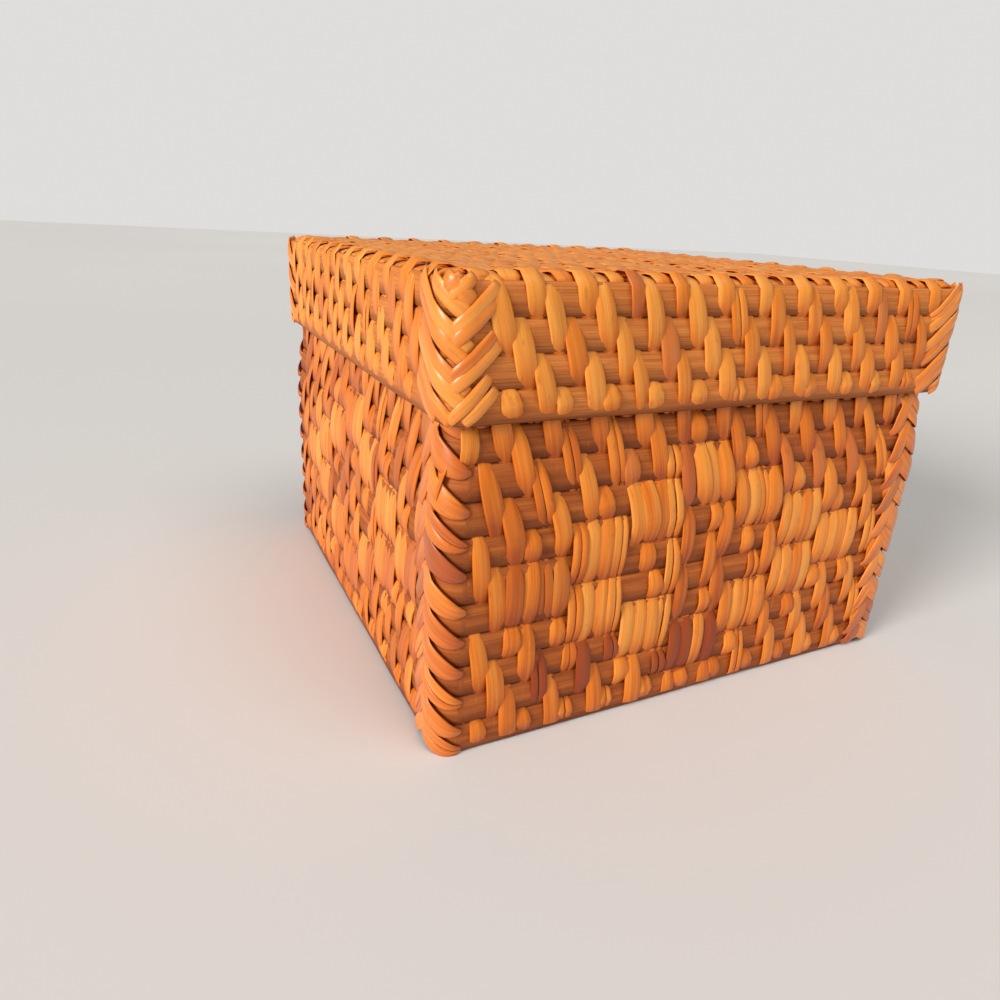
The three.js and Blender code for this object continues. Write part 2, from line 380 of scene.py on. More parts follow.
class Straw:
    """Collects closed ribbons and turns them into one mesh."""

    # Places across a ribbon as shares of its width, and heights as shares of its thickness.
    SECTION = np.array([
        (-0.5, 0.3), (-0.43, 0.8), (-0.17, 1.0), (0.17, 1.0),
        (0.43, 0.8), (0.5, 0.3), (0.38, 0.0), (-0.38, 0.0),
    ])
    END = np.array([(0, 7, 6, 1), (1, 6, 5, 2), (2, 5, 4, 3)])

    def __init__(self):
        self.ribbons = []
        self.count = 0

    def ribbon(self, centres, side, widths, dye, crown, tilt=0.0):
        """A ribbon along centres. side is the direction across it, one or one for each station, and
        tilt turns the ribbon about its middle line."""
        along = np.gradient(centres, axis=0)
        along /= np.linalg.norm(along, axis=1, keepdims=True)
        across = side - np.sum(side * along, axis=1, keepdims=True) * along
        across /= np.linalg.norm(across, axis=1, keepdims=True)
        out = np.cross(across, along)
        turned = across * math.cos(tilt) + out * math.sin(tilt)
        out = out * math.cos(tilt) - across * math.sin(tilt)
        place, height = self.SECTION.T
        places = widths[:, None] * place
        lift = (height - 0.5) * strand_thickness + crown * (1 - (2 * place) ** 2)
        rings = (
            centres[:, None]
            + turned[:, None] * places[:, :, None]
            + out[:, None] * lift[None, :, None]
        )
        stations, size = places.shape
        far_end = self.END[:, ::-1] + (stations - 1) * size
        faces = np.concatenate([ring_faces(stations, size, closed=False), self.END, far_end])
        fibre = fibre_places(places, centres)
        dyes = np.repeat(dye, size, axis=0)
        self.ribbons.append((rings.reshape(-1, 3), faces + self.count, fibre, dyes))
        self.count += stations * size

    def make(self, name, material):
        """One mesh of all ribbons."""
        parts = [np.concatenate(part) for part in zip(*self.ribbons)]
        return build(name, *parts, material)


def settle(piece):
    """Lets the walls of the basket belly out below the lid, and presses flat what hangs too low."""
    mesh = piece.data
    points = np.empty(3 * len(mesh.vertices), np.float32)
    mesh.vertices.foreach_get("co", points)
    points = points.reshape(-1, 3)
    share = np.clip((belly_from - points[:, 2]) / belly_height, 0, 1)
    points[:, :2] *= (1 + belly / basket_half * share * share * (3 - 2 * share))[:, None]
    points[:, 2] = np.maximum(points[:, 2], ground_gap)
    mesh.vertices.foreach_set("co", points.ravel())


def place(piece, body, slot, *nodes):
    """Puts a piece on its body, in the place of these nodes. slot is not used."""
    if body == "basket":
        settle(piece)
    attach(piece, body)
    if nodes:
        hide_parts(*nodes)


# Bands.

def towards(angle):
    """The direction of this angle in plan."""
    return np.array([math.cos(angle), math.sin(angle)])


def perimeter(half):
    """Distance round the box, which has rounded corners in plan."""
    return 8 * (half - corner_radius) + 2 * math.pi * corner_radius


def outline(half, distances):
    """Places and outward normals in plan at distances round the box, from the left of its front."""
    flat = half - corner_radius
    places = []
    for distance in distances:
        quarter, rest = divmod(distance, perimeter(half) / 4)
        angle = (quarter - 1) * math.pi / 2
        side = towards(angle)
        tangent = np.array([-side[1], side[0]])
        normal = towards(angle + max(rest - 2 * flat, 0) / corner_radius)
        centre = side * flat + tangent * (min(rest, 2 * flat) - flat)
        places.append((centre + normal * corner_radius, normal))
    return [np.array(part) for part in zip(*places)]


def band_section(height):
    """Heights and depths round a band, which is convex outside."""
    outer_shares = [(-1, 0.0), (-0.86, 0.6), (-0.5, 0.9), (0, 1.0), (0.5, 0.9), (0.86, 0.6), (1, 0.0)]
    inner_shares = [(0.8, -0.9), (0, -1.0), (-0.8, -0.9)]
    shares = outer_shares + inner_shares
    return [(h * height / 2, d * (band_outer if d > 0 else band_inner)) for h, d in shares]


def edge_section():
    """Heights and depths round the edge hoop, which the strands turn over at the top of the lid."""
    angles = np.radians(np.linspace(edge_start, 90, edge_steps))
    outer, inner = [
        [(radius * math.sin(a), radius * math.cos(a) - lid_turn) for a in angles]
        for radius in (edge_radius, edge_inner_radius)
    ]
    flat = [(edge_radius, -edge_reach), (edge_inner_radius, -edge_reach)]
    return outer + flat + inner[::-1]


def hoop_distances(half):
    """Distances round the box of the places of a hoop, closer together at the corners."""
    quarter = perimeter(half) / 4
    flat = 2 * (half - corner_radius)
    side = np.linspace(0, flat, side_steps, endpoint=False)
    corner = np.linspace(flat, quarter, corner_steps, endpoint=False)
    return np.concatenate([np.append(side, corner) + i * quarter for i in range(4)])


def hoop(name, half, middle, section, tone, material):
    """A slightly wavy band of this section round the box."""
    spots, normals = outline(half, hoop_distances(half))
    heights, depths = np.array(section).T
    count, size = len(spots), len(section)
    turns = 2 * math.pi * np.arange(count)[:, None] / count
    waves = [np.sin(n * turns + phase) for n, phase in zip(band_waves, band_phases)]
    points = np.empty((count, size, 3))
    swollen = depths + band_swell * waves[2]
    points[:, :, :2] = spots[:, None] + normals[:, None] * swollen[:, :, None]
    points[:, :, 2] = middle + heights + band_sway * (waves[0] + waves[1])
    fibre = fibre_places(heights, spots)
    faces = ring_faces(count, size, closed=True)[:, [0, 3, 2, 1]]
    dyes = np.broadcast_to((tone, 0, 0), (count * size, 3))
    return build(name, points.reshape(-1, 3), faces, fibre, dyes, material)


def band_hoops(body, nodes, half, pitch, tone, material):
    """A hoop in the place of each band of a body."""
    section = band_section(pitch * band_height_share)
    for node in nodes:
        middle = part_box(node)[0].z + pitch / 2
        piece = hoop(node.replace("band", "hoop"), half, middle, section, tone, material)
        place(piece, body, "bands", node)


# Pattern of the weave.

def twill_rows(strand, first, last):
    """A strand of plain twill from one row to another, as stretches of (first, last, over). Rows
    count downwards from 1."""
    rows = []
    for row in range(first, last + 1):
        over = (row - 1 - strand) % twill < twill - 1
        if rows and rows[-1][2] == over:
            rows[-1] = (rows[-1][0], row, over)
        else:
            rows.append((row, row, over))
    return rows


def heart_rows(strand, block, first, last):
    """The small figure inside the diamond."""
    if block == 0:
        outer = [(first, first + 1, True), (first + 2, last, True)]
        hidden = [(first, last, False)]
        inner = [(first, first, True), (first + 1, last - 1, True), (last, last, True)]
        return [inner, outer, outer, hidden][strand % block_strands]
    kinds = [
        [(first, last, True)],
        [(first, last, False)],
        [(first, first, True), (last, last, False)],
        [(first, first, False), (last, last, True)],
    ]
    return kinds[(strand - 1) % block_strands]


def diamond_place(strand):
    """Block of the diamond at this strand, counted from the middle, and its upper and lower row."""
    block = int(abs(strand - (strand_count - 1) / 2) / block_strands + 0.5)
    return block, diamond_top + block, diamond_bottom - block - 1


def diamond_rows(strand, first, last):
    """A strand of the wall with the diamond, which is made of blocks of four strands."""
    block, top, bottom = diamond_place(strand)
    if block > diamond_blocks:
        return twill_rows(strand, first, last)
    rows = twill_rows(strand, first, top - 1)
    rows.append((top, top + 1, True))
    if bottom > top + 2:
        rows += heart_rows(strand, block, top + 2, bottom - 1)
    if bottom > top:
        rows.append((bottom, bottom + 1, True))
    return rows + twill_rows(strand, bottom + 2, last)


def pad_dye(strand, row):
    """The blocks of the diamond are pads of lighter straw."""
    block, top, bottom = diamond_place(strand)
    return PALE if block <= diamond_blocks and row in (top, bottom) else STRAW


def front_dye(strand, row):
    """Dye of a float of the front wall, by strand and upper row."""
    for dye, dyed_row, strands in FRONT_DYES:
        if row == dyed_row and strand in strands:
            return dye
    return pad_dye(strand, row)


def some_dye(strand, row):
    """Dye of a float on the other walls: a similar mixture, scattered by a fixed rule."""
    pick = (strand * 37 + row * 61) % 29
    if pick == 3:
        return BROWN
    return PINK if pick in (7, 15) else pad_dye(strand, row)


def lid_dye(strand, row):
    """Dye of a float of the lid: a pink one here and there, by a fixed rule."""
    return PINK if (strand * 7 + row * 5) % 19 == 4 else STRAW


# Path of a strand.

class Run(NamedTuple):
    """A stretch of a strand: where it starts and ends along its route, how far its middle rises out
    of the middle surface, below 0 where it passes behind, and its dye."""

    start: float
    end: float
    rise: float
    dye: tuple = STRAW

    @property
    def over(self):
        return self.rise > 0


class Wall:
    """How the strands stand on one wall, as seen from outside: their lean, the tilt of the floats,
    and factors on their width and their rise."""

    def __init__(self, lean, tilt, fullness=1.0, relief=1.0):
        self.heights, self.shifts = np.array(lean).T * MM
        self.tilt = tilt
        self.fullness = fullness
        self.relief = relief

    def shift(self, z):
        """Sideways place of a column of strands at this height."""
        return float(np.interp(z, self.heights, self.shifts))


class Route:
    """The middle surface along one strand: from the open edge of the near wall to its bend, straight
    across, and back along the far wall. Distances count from the first open edge."""

    def __init__(self, half, edge, level, turn, tone, near, far):
        self.half = half
        self.edge = edge
        self.level = level
        self.turn = turn
        self.tone = tone
        self.near = near
        self.far = far
        self.up = 1 if level > edge else -1
        self.wall = abs(level - edge) - turn
        self.bend = turn * math.pi / 2
        self.length = 2 * (self.wall + self.bend + half - turn)

    def at(self, distance):
        """Place (y, z) and outward normal (y, z) at this distance."""
        if distance > self.length / 2:
            y, z, normal_y, normal_z = self.at(self.length - distance)
            return -y, z, -normal_y, normal_z
        if distance < self.wall:
            return -self.half, self.edge + self.up * distance, -1.0, 0.0
        if distance < self.wall + self.bend:
            angle = (distance - self.wall) / self.turn
            y = -self.half + self.turn * (1 - math.cos(angle))
            z = self.level - self.up * self.turn * (1 - math.sin(angle))
            return y, z, -math.cos(angle), self.up * math.sin(angle)
        y = -self.half + self.turn + distance - self.wall - self.bend
        return y, self.level, 0.0, float(self.up)

    def sideways(self, distance, base):
        """Sideways place, at this distance, of the strand whose column stands at base."""
        z = self.at(distance)[1]
        places = (base + self.near.shift(z), base - self.far.shift(z))
        near, far = np.clip(places, -under_lashing, under_lashing)
        share = (distance - self.wall) / (self.length - 2 * self.wall)
        return near + min(max(share, 0), 1) * (far - near)

    def float_lean(self, run):
        """How far a float leans out of its column: not on the flat, and little in a pad."""
        if self.wall < run.start < self.length - self.wall:
            return 0.0
        wall = self.near if run.start < self.wall else self.far
        return -self.up * wall.tilt * (pad_tilt_share if run.dye == PALE else 1)


def mirrored(runs, length):
    """The same runs counted from the other end of a route of this length."""
    return [Run(length - run.end, length - run.start, run.rise, run.dye) for run in reversed(runs)]


def joined(parts):
    """Runs of the wall, the flat and the far wall in one, with like runs made one where they meet."""
    runs = []
    for part in parts:
        for i, run in enumerate(part):
            last = runs[-1] if runs else None
            if last and last.over == run.over and (i == 0 or not run.over):
                rise = max(last.rise, run.rise, key=abs)
                dye = last.dye if i else max(last.dye, run.dye)
                runs[-1] = Run(last.start, run.end, rise, dye)
            else:
                runs.append(run)
    return runs


def cut_to(runs, low, high):
    """What is left of the runs between two distances."""
    kept = [run for run in runs if run.end > low and run.start < high]
    return [run._replace(start=max(run.start, low), end=min(run.end, high)) for run in kept]


def stations_in(length):
    """Places from -1 to 1 along a run of this length, closer together at its ends."""
    count = max(least_stations, int(round(length / station_gap)) | 1)
    return np.sin(np.linspace(-1, 1, count) * math.pi / 2)


def sideways_knots(route, runs):
    """Sideways places at the ends of the runs, so that each float leans and the strand stays whole."""
    reach = [0.5 * (run.end - run.start) * math.tan(route.float_lean(run)) for run in runs]
    knots = [0.0]
    for i in range(1, len(runs)):
        before = reach[i - 1] if runs[i - 1].over else 0
        after = reach[i] if runs[i].over else 0
        knots.append((before - after) / (2 if before and after else 1))
    knots.append(0.0)
    return np.array(knots) + rng.normal(0, strand_jitter, len(knots))


def strand_line(route, base, runs, width):
    """Stations of one strand: centre (x, y, z), outward normal, width share and dye. The tone in dye
    carries painted shade.
    """
    knots = sideways_knots(route, runs)
    tone = route.tone + tone_spread * (rng.random() - 0.5)
    column = base / strand_pitch
    block_middle = math.floor(column / block_strands + 0.5) * block_strands
    pull = pad_pull * (column - block_middle)
    centres, normals, sizes, dyes = [], [], [], []
    for i, run in enumerate(runs):
        span = run.end - run.start
        short = span < short_float_bands * basket_pitch
        power = short_float_power if short else long_float_power
        swell = 1 + rise_spread * rng.normal() if run.over else 1
        run_tone = tone + float_tone_spread * rng.normal() + run.dye[0]
        bow = rng.normal(0, float_bow)
        pad = run.dye == PALE
        for t in stations_in(span):
            if centres and t == -1:
                continue
            share = (t + 1) / 2
            distance = run.start + share * span
            y, z, normal_y, normal_z = route.at(distance)
            near = distance <= route.length / 2
            wall = route.near if near else route.far
            upright = 1 - abs(normal_z)
            full = 1 + (wall.fullness - 1) * upright
            relief = 1 + (wall.relief - 1) * upright if run.over else 1
            height = run.rise * relief * swell * (1 - abs(t) ** power)
            x = route.sideways(distance, base)
            if pad:
                x -= pull * (1 - abs(t) ** pull_power)
            x += (1 - share) * knots[i] + share * knots[i + 1] + bow * (1 - t * t)
            centres.append((x, y + normal_y * height, z + normal_z * height))
            normals.append((0.0, normal_y, normal_z))
            downwards = t * (-1 if near else 1) * route.up
            tip = pad_tip_share if pad else upper_tip_share if downwards < 0 else lower_tip_share
            size = full * (1 - (1 - tip) * abs(t) ** tip_power) if run.over else upper_tip_share
            sizes.append(size + (flat_width / width - size) * abs(normal_z))
            # Painted shade: the lower end of a float, and a run behind the bands, are toned darker.
            foot = foot_shade * max(downwards, 0) ** foot_power * upright
            shade = foot if run.over else inner_shade
            dyes.append((min(max(run_tone - shade, 0), 1), run.dye[1], run.dye[2]))
    return [np.array(part) for part in (centres, normals, sizes, dyes)]


def weave(straw, route, base, runs, width, turn):
    """One strand, whole or split lengthwise in two."""
    centres, normals, sizes, dyes = strand_line(route, base, runs, width)
    side = np.array([route.up, 0.0, 0.0])
    parts = split(split_shares, split_cut_spread)
    full = width * (1 + width_spread * rng.normal())
    tilt = rng.normal(0, strand_roll)
    distance = np.arange(len(centres)) * station_gap
    for low, high in parts:
        moved = centres + ((low + high) / 2 * full * sizes)[:, None] * side
        share = high - low
        crown = strand_crown * share
        shade = dyes.copy()
        if len(parts) > 1:
            phase = phase_range * rng.random()
            wander = split_wander * np.sin(distance / split_wander_length + phase)
            moved = moved + wander[:, None] * side + rng.normal(0, split_wander) * normals
            shade[:, 0] = np.clip(shade[:, 0] + split_tone_spread * rng.normal(), 0, 1)
            share *= split_width_share
        straw.ribbon(moved @ turn.T, turn @ side, full * share * sizes, shade, crown, tilt)


# Sets of strands.

def strand_places(count):
    """Numbers and sideways places of the strands, from the left end of the front wall. Those with
    numbers below 0 or from count on only cross the flat."""
    numbers = range(-extra_strands, count + extra_strands)
    return [(i, (i - (count - 1) / 2) * strand_pitch) for i in numbers]


def in_reach(wall, number, count, middle):
    """True where a strand may come out on a wall at this height, and not under the lashing."""
    sideways = (number - (count - 1) / 2) * strand_pitch + wall.shift(middle)
    if wall.shifts[-1] < 0:
        return number >= 0 and sideways < wall_reach
    return number < count and sideways > -wall_reach


def basket_wall(route, side, number):
    """Runs of a strand on a basket wall, from the rim down to the bend under the floor. The first
    strand of the front wall comes out over the uppermost band that shows, and nowhere else."""
    wall = route.near if side in ("front", "right") else route.far
    dye_of = front_dye if side == "front" else some_dye
    first_row = route.edge - basket_top + hidden_bands * basket_pitch
    hidden, shown = [], []
    for first, last, over in twill_rows(number, 1 - hidden_bands, 0):
        start = first_row + (first - 1) * basket_pitch
        end = first_row + last * basket_pitch
        hidden.append(Run(start, end, hidden_rise if over else -inner_rise))
    hidden[0] = hidden[0]._replace(start=0.0)
    for first, last, over in diamond_rows(number, 1, shown_bands):
        start = first_row + (first - 1) * basket_pitch
        end = first_row + last * basket_pitch
        if last == shown_bands:
            end = route.wall + route.bend / 2
        over = over and in_reach(wall, number, strand_count, route.edge - (start + end) / 2)
        if side == "front" and number == 0 and first == 1:
            shown.append(Run(start, start + basket_pitch, basket_rise, PALE))
            start += basket_pitch
            over = False
        dye = dye_of(number, first) if over else STRAW
        shown.append(Run(start, end, basket_rise if over else -inner_rise, dye))
    return joined([hidden, shown])


def lid_wall(route, side, number):
    """Runs of a strand on a lid wall, from the lower edge up to the bend at the top."""
    wall = route.near if side in ("front", "right") else route.far
    runs = []
    for first, last, over in reversed(twill_rows(number, 1, lid_bands)):
        start = max((lid_bands - last) * lid_pitch - lid_edge_gap, 0)
        end = (lid_bands - first + 1) * lid_pitch - lid_edge_gap
        if first == 1:
            end = route.wall + route.bend / 2
        over = over and in_reach(wall, number, lid_strand_count, route.edge + (start + end) / 2)
        dye = lid_dye(number, first) if over else STRAW
        runs.append(Run(start, end, lid_rise if over else -lid_inner_rise, dye))
    return joined([runs])


def flat_runs(route, number, count, lengthwise):
    """Runs across the flat, where the two sets of strands weave with each other."""
    bend = route.wall + route.bend / 2
    middle = route.length / 2
    runs = []
    for crossed, y in strand_places(count):
        low = max(middle + y - strand_pitch / 2, bend)
        high = min(middle + y + strand_pitch / 2, route.length - bend)
        if lengthwise:
            over = (number + crossed) % twill != 1
        else:
            over = (number + count - 1 - crossed) % twill == 1
        if runs and runs[-1].over == over:
            runs[-1] = runs[-1]._replace(end=high)
        else:
            runs.append(Run(low, high, flat_rise if over else -flat_rise))
    runs[0] = runs[0]._replace(start=bend)
    runs[-1] = runs[-1]._replace(end=route.length - bend)
    return runs


def corner_cut(half, base):
    """How much shorter the flat is at this sideways place, because of the rounded corner."""
    over = abs(base) - (half - corner_radius)
    if over <= 0:
        return 0.0
    return corner_radius - math.sqrt(max(corner_radius ** 2 - over ** 2, 0))


def strand_set(name, route, sides, count, wall_of, width, material):
    """All strands between two sides: up one wall, across the flat and down the opposite wall."""
    straw = Straw()
    near, far = sides
    lengthwise = near == "front"
    turn = np.array(Matrix.Rotation(0 if lengthwise else math.pi / 2, 3, "Z"))
    for number, base in strand_places(count):
        runs = flat_runs(route, number, count, lengthwise)
        if -1 <= number <= count:
            near_wall = wall_of(route, near, number)
            far_wall = wall_of(route, far, count - 1 - number)
            runs = joined([near_wall, runs, mirrored(far_wall, route.length)])
        else:
            tuck = route.wall + route.bend / 4 + corner_cut(route.half, base)
            runs = cut_to(runs, tuck, route.length - tuck)
        weave(straw, route, base, runs, width, turn)
    return straw.make(name, material)


# Lashings.

class Corner:
    """One upright corner unrolled. Sideways places are distances round it from its middle, counted
    towards the next wall anticlockwise, and depth is the distance out from the middle surface."""

    def __init__(self, half, index):
        self.middle = math.radians(90 * index - 45)
        flat = half - corner_radius
        self.centre = np.copysign(flat, towards(self.middle))
        self.arc = corner_radius * math.pi / 4

    def at(self, sideways, depth, z):
        """Place and outward normal there."""
        turned = min(max(sideways, -self.arc), self.arc)
        normal = towards(self.middle + turned / corner_radius)
        tangent = np.array([-normal[1], normal[0]])
        spot = self.centre + normal * (corner_radius + depth) + tangent * (sideways - turned)
        return (spot[0], spot[1], z), (normal[0], normal[1], 0.0)


def eased(t, start, end, power):
    """0 up to start and 1 from end on, with a curve of this power between them."""
    return np.clip((t - start) / (end - start), 0, 1) ** power


def strap(straw, corner, start, end, width, bulge, tip, depths, dye, foot=0.0):
    """One arm of a lashing from start to end, both (sideways, z). bulge bends its path, tip is the
    share of its width left at its end, and foot is how much painted shade darkens that end."""
    t = np.linspace(0, 1, strap_steps)
    sideways = start[0] + (end[0] - start[0]) * t
    z = start[1] + (end[1] - start[1]) * (1 - (1 - t) ** bulge)
    under, over, tucked = depths
    depth = under + (over - under) * eased(t, *strap_up) - (over - tucked) * eased(t, *strap_dip)
    spots = [corner.at(*at) for at in zip(sideways, depth, z)]
    centres, normals = (np.array(part) for part in zip(*spots))
    side = np.cross(np.gradient(centres, axis=0), normals)
    side /= np.linalg.norm(side, axis=1, keepdims=True)
    root = strap_root_share + (1 - strap_root_share) * eased(t, *strap_widening)
    sizes = (1 - (1 - tip) * eased(t, *strap_narrowing)) * root
    for low, high in split(strap_split_shares, strap_cut_spread):
        moved = centres + ((low + high) / 2 * width * sizes)[:, None] * side
        moved = moved + normals * rng.normal(0.0, strap_jitter)
        tone = dye[0] + strap_tone_spread * rng.normal()
        shade = np.tile(dye, (strap_steps, 1))
        # Painted shade towards the end of the arm.
        shade[:, 0] = np.clip(tone - foot * eased(t, *strap_shading), 0, 1)
        widths = width * (high - low) * strap_width_share * sizes
        straw.ribbon(moved, side, widths, shade, strap_crown * (high - low))


def cut_between(start, end, low, high):
    """A straight path between two places (sideways, z), kept between two heights, or None if little
    of it is left."""
    (x, z), (end_x, end_z) = start, end
    slope = (end_x - x) / (end_z - z)
    first, last = np.clip((z, end_z), low, high)
    if abs(last - first) < least_lid_strap:
        return None
    return (x + (first - z) * slope, first), (x + (last - z) * slope, last)


def lid_lashing(name, index, material):
    """A herringbone of doubled arms, left over right and right over left in turn. The arms rise away
    from the corner at front left and back right, and fall away from it at the other two."""
    straw = Straw()
    corner = Corner(lid_half, index)
    low = lid_base + lid_strap_bottom_gap
    high = lid_top - lid_strap_top_gap
    way = 1 if index % 2 else -1
    for course in range(lid_courses, -2, -1):
        foot = low + lid_first_foot + course * lid_course_height
        for side, drop, reach, climb, width, bulge, tip in lid_arms:
            for lap in (1, 0):
                rise = foot - drop + lap * lid_lap_share * width + rng.normal(0, lid_height_jitter)
                end = side * (reach - lap * lid_lap_reach) + rng.normal(0, lid_reach_jitter)
                if way < 0:
                    rise = low + high - rise
                root = (lid_joint - side * lid_root, rise)
                path = cut_between(root, (end, rise + way * climb), low, high)
                if path:
                    dye = (rng.uniform(*lid_strap_tones), 0.0, 0.0)
                    strap(straw, corner, *path, width, bulge, tip, lid_strap_depths, dye)
    return straw.make(name, material)


def basket_lashing(name, index, material):
    """A ladder of broad arms, one for each band, that fall away from the corner like tiles."""
    straw = Straw()
    corner = Corner(basket_half, index)
    for course in range(basket_bands + 1):
        top = (course + basket_first_top_share) * basket_pitch
        depth_share = hidden_depth_share if course >= shown_bands else 1
        depths = [depth * depth_share for depth in basket_strap_depths]
        for side, reach, fall, width, bulge, tip in basket_arms:
            rise = min(top + rng.normal(0, basket_strap_jitter), basket_top - basket_strap_top_gap)
            if rise - fall < basket_strap_ground_gap:
                fall = rise - basket_strap_lift
            if fall < least_basket_fall:
                continue
            start = (basket_joint - side * basket_root, rise)
            end = (side * reach + rng.normal(0, basket_strap_jitter), rise - fall)
            red = red_strap_dye if rng.random() < red_strap_share else 0.0
            dye = (rng.uniform(*basket_strap_tones), 0.0, red)
            strap(straw, corner, start, end, width, bulge, tip, depths, dye, basket_strap_tip_shade)
    return straw.make(name, material)


# Rim.

def rim_binding(name, material):
    """A flat strand wound round and round the rim."""
    straw = Straw()
    turns = int(8 * basket_half / binding_pitch)
    steps = turns * binding_steps
    distances = np.linspace(0, perimeter(basket_half), steps, endpoint=False)
    centres, sides = [], []
    for i, (spot, normal) in enumerate(zip(*outline(basket_half, distances))):
        angle = 2 * math.pi * i / binding_steps
        at = spot + normal * (binding_depth * math.cos(angle))
        centres.append((at[0], at[1], rim_middle + rim_height / 2 * math.sin(angle)))
        sides.append((-normal[1], normal[0], 0.0))
    wave = binding_tone_wave * np.sin(np.arange(steps) / binding_wave_steps)
    scatter = binding_tone_spread * rng.normal(size=turns + 1).repeat(binding_steps)[:steps]
    dye = np.zeros((steps, 3))
    dye[:, 0] = np.clip(binding_tone + wave + scatter, 0, 1)
    widths = np.full(steps, binding_width)
    straw.ribbon(np.array(centres), np.array(sides), widths, dye, binding_crown)
    return straw.make(name, material)


# Materials.

def linear(colour):
    """A colour written as on a screen, 0 to 255, in the shader's terms."""
    shares = [part / 255 for part in colour]
    parts = [c / 12.92 if c < 0.04045 else ((c + 0.055) / 1.055) ** 2.4 for c in shares]
    return (*parts, 1)


class Nodes:
    """A few short words for building the node tree of a material or of the world."""

    def __init__(self, owner):
        self.owner = owner
        owner.use_nodes = True
        self.tree = owner.node_tree
        self.tree.nodes.clear()

    def add(self, kind, inputs, **settings):
        """A new node of this kind. An input is a value, or an output that is linked to it."""
        node = self.tree.nodes.new("ShaderNode" + kind)
        for key, value in settings.items():
            setattr(node, key, value)
        for key, source in inputs.items():
            if isinstance(source, (int, float, tuple)):
                node.inputs[key].default_value = source
            else:
                self.tree.links.new(source, node.inputs[key])
        return node

    def math(self, operation, a, b):
        """A sum, product or the like of two values."""
        return self.add("Math", {0: a, 1: b}, operation=operation).outputs[0]

    def mix(self, share, a, b, blend="MIX"):
        """This share of colour b over colour a."""
        inputs = {"Factor": share, 6: a, 7: b}
        return self.add("Mix", inputs, data_type="RGBA", blend_type=blend).outputs[2]

    def ramp(self, value, *stops):
        """Colours at places from 0 to 1."""
        node = self.add("ValToRGB", {0: value})
        elements = node.color_ramp.elements
        for i, (place, colour) in enumerate(stops):
            stop = elements[i] if i < 2 else elements.new(place)
            stop.position = place
            stop.color = colour
        return node.outputs[0]

    def toned(self, tone, share, noise, spread, colours):
        """Dark, middle and light colours, by this share of a tone and the rest of a noise."""
        parts = [self.math("MULTIPLY", tone, share), self.math("MULTIPLY", noise, 1 - share)]
        stops = zip((0.5 - spread, 0.5, 0.5 + spread), map(linear, colours))
        return self.ramp(self.math("ADD", *parts), *stops)

    def stretch(self, value, low, high, to_low, to_high):
        """The range from low to high carried over to another range."""
        inputs = enumerate((value, low, high, to_low, to_high))
        return self.add("MapRange", dict(inputs)).outputs[0]

    def noise(self, parts, across, along, seed, detail):
        """Noise stretched along the fibres: one cell is across by along metres."""
        x = self.math("DIVIDE", parts[0], across)
        y = self.math("DIVIDE", parts[1], along)
        z = self.math("MULTIPLY", parts[2], seed)
        where = self.add("CombineXYZ", {0: x, 1: y, 2: z}).outputs[0]
        node = self.add("TexNoise", {"Vector": where, "Scale": 1.0, "Detail": detail})
        return node.outputs["Fac"]

    def attribute(self, name):
        """The three parts of an attribute of the mesh."""
        vector = self.add("Attribute", {}, attribute_name=name).outputs["Vector"]
        return self.add("SeparateXYZ", {0: vector}).outputs

    def surface(self, colour, roughness, height, depth, coat=0.0):
        """The finished material, with bumps of this depth."""
        inputs = {
            "Base Color": colour,
            "Roughness": roughness,
            "Specular IOR Level": specular_level,
            "Coat Weight": coat,
            "Coat Roughness": coat_roughness,
            "Normal": self.add("Bump", {"Height": height, "Distance": depth}).outputs[0],
        }
        self.add("OutputMaterial", {0: self.add("BsdfPrincipled", inputs).outputs[0]})
        return self.owner


def straw_material(name, colours, coat):
    """Flat glossy straw with fine fibres along it."""
    n = Nodes(bpy.data.materials.new(name))
    parts = n.attribute("fibre")
    dye = n.attribute("dye")
    fine = n.noise(parts, 0.16 * MM, 9 * MM, 61.0, 4.0)
    broad = n.noise(parts, 0.9 * MM, 22 * MM, 23.0, 2.0)
    spots = n.noise(parts, 1.2 * MM, 2.5 * MM, 17.0, 3.0)
    # dye[0] is the tone, with painted shade at float ends, on runs behind the bands and at lashing
    # tips.
    colour = n.toned(dye[0], 0.45, broad, 0.28, colours)
    colour = n.mix(n.math("MULTIPLY", dye[1], 0.6), colour, linear(PINK_COLOUR))
    colour = n.mix(n.math("MULTIPLY", dye[2], 0.85), colour, linear(RED_COLOUR))
    lines = n.stretch(fine, 0.3, 0.62, 0.7, 1.06)
    shade = n.ramp(lines, (0.0, (0, 0, 0, 1)), (1.0, (1, 1, 1, 1)))
    colour = n.mix(0.55, colour, n.mix(1.0, colour, shade, "MULTIPLY"))
    stain = n.stretch(spots, 0.62, 0.75, 0.0, 0.35)
    colour = n.mix(stain, colour, linear(STAIN_COLOUR))
    roughness = n.stretch(fine, 0.3, 0.7, 0.5, 0.36)
    return n.surface(colour, roughness, fine, 0.05 * MM, coat)


